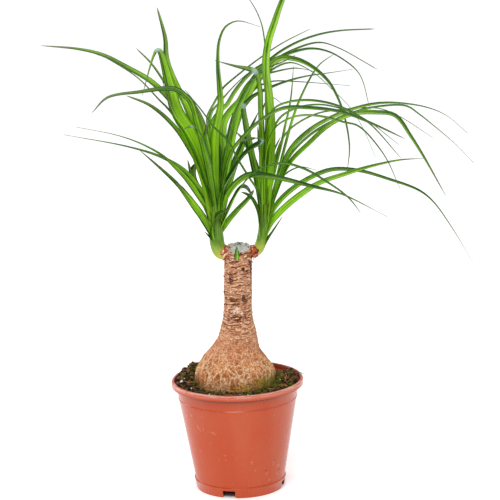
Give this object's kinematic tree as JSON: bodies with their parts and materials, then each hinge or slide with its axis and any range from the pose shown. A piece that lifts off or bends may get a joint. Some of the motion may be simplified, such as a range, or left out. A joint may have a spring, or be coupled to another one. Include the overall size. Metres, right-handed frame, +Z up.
{
  "type": "potted ponytail palm",
  "caption": "Young ponytail palm with a swollen barky trunk, cut back to leafy side shoots, growing in soil in a round tapered plastic nursery pot.",
  "frame": {"origin": "middle of the pot's foot, on the flat pad that it stands on", "axes": "+Z up along the pot's axis, +X to the viewer's right and +Y away from the viewer in the front view"},
  "size_m": [0.3852, 0.21, 0.477],
  "materials": {
    "pot_plastic": "glossy moulded terracotta-coloured plastic with pale dried water marks and fine scratches",
    "soil": "dark crumbly peat with moss, white grains and bits of root",
    "bark": "dry corky bark, cracked into a net on the bulb and ringed with leaf scars above",
    "leaf": "smooth satin strap leaves with fine parallel veins, dark above and silvery beneath, dry at the tips",
    "bud": "fresh yellow-green young leaf"
  },
  "bodies": {
    "root": {"pot": "pot_plastic", "soil": "soil", "trunk": "bark", "left_head": "leaf", "right_head": "leaf", "side_bud": "bud"}
  },
  "joints": []
}
